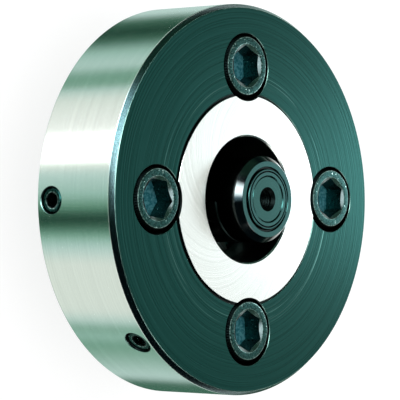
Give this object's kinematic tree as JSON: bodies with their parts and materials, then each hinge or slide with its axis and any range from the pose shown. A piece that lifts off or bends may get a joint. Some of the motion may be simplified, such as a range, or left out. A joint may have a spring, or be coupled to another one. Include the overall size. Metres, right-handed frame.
{
  "type": "spindle flange",
  "caption": "Round steel flange that bolts to a milling spindle nose and clamps hollow taper shank tools with a screw-driven jaw cartridge in its bore.",
  "frame": {"origin": "centre of the face that seats on the spindle nose, on the spindle axis", "axes": "+Z along the spindle axis out of the front face towards the tool, +X towards the 3 o'clock cap screw, +Y towards the 12 o'clock cap screw"},
  "size_m": [0.15, 0.15, 0.0726],
  "materials": {
    "ground_steel": "ground, with a blackened front face",
    "black_oxide_steel": "black oxide",
    "hardened_black_steel": "polished, black oxide",
    "ejector_steel": "turned, black oxide",
    "tool_steel": "ground",
    "spring_steel": "phosphated",
    "seal_rubber": "matte"
  },
  "bodies": {
    "flange": {"flange_body": "ground_steel", "cap_screw_1": "black_oxide_steel", "cap_screw_2": "black_oxide_steel", "cap_screw_3": "black_oxide_steel", "cap_screw_4": "black_oxide_steel", "access_plug": "black_oxide_steel", "cartridge_body": "hardened_black_steel", "locating_pin": "tool_steel", "retaining_ring": "spring_steel", "drive_key_1": "tool_steel", "drive_key_2": "tool_steel", "key_screw_1": "black_oxide_steel", "key_screw_2": "black_oxide_steel", "cartridge_screw_1": "black_oxide_steel", "cartridge_screw_2": "black_oxide_steel", "cartridge_screw_3": "black_oxide_steel", "cartridge_screw_4": "black_oxide_steel"},
    "clamp_screw": {"clamp_screw": "tool_steel"},
    "jaw_1": {"clamp_jaw_1": "hardened_black_steel"},
    "jaw_2": {"clamp_jaw_2": "hardened_black_steel"},
    "ejector": {"ejector": "ejector_steel", "ejector_plug": "ejector_steel", "ejector_seal": "seal_rubber"},
    "alignment_1": {"alignment_screw_1": "black_oxide_steel"},
    "alignment_2": {"alignment_screw_2": "black_oxide_steel"},
    "alignment_3": {"alignment_screw_3": "black_oxide_steel"},
    "alignment_4": {"alignment_screw_4": "black_oxide_steel"}
  },
  "joints": [
    {"name": "clamp_turn", "type": "hinge", "parent": "flange", "child": "clamp_screw", "pos_m": [0, 0, 0.0167], "axis": [0.7071, 0.7071, 0], "range_deg": [0, 360]},
    {"name": "jaw_1_slide", "type": "slide", "parent": "flange", "child": "jaw_1", "axis": [-0.7071, -0.7071, 0], "range_m": [0, 0.0015]},
    {"name": "jaw_2_slide", "type": "slide", "parent": "flange", "child": "jaw_2", "axis": [0.7071, 0.7071, 0], "range_m": [0, 0.0015]},
    {"name": "ejector_slide", "type": "slide", "parent": "flange", "child": "ejector", "axis": [0, 0, -1], "range_m": [0, 0.0008]},
    {"name": "alignment_1_turn", "type": "hinge", "parent": "flange", "child": "alignment_1", "pos_m": [-0.0695, 0, -0.0062], "axis": [1, 0, 0], "range_deg": [0, 180]},
    {"name": "alignment_2_turn", "type": "hinge", "parent": "flange", "child": "alignment_2", "pos_m": [0, -0.0695, -0.0062], "axis": [0, 1, 0], "range_deg": [0, 180]},
    {"name": "alignment_3_turn", "type": "hinge", "parent": "flange", "child": "alignment_3", "pos_m": [0.0695, 0, -0.0062], "axis": [-1, 0, 0], "range_deg": [0, 180]},
    {"name": "alignment_4_turn", "type": "hinge", "parent": "flange", "child": "alignment_4", "pos_m": [0, 0.0695, -0.0062], "axis": [0, -1, 0], "range_deg": [0, 180]}
  ],
  "couplings": [
    {"joint": "clamp_turn", "follows": "ejector_slide", "rad_per_m": 7853},
    {"joint": "jaw_1_slide", "follows": "ejector_slide", "ratio": 1.874},
    {"joint": "jaw_2_slide", "follows": "ejector_slide", "ratio": 1.874}
  ]
}
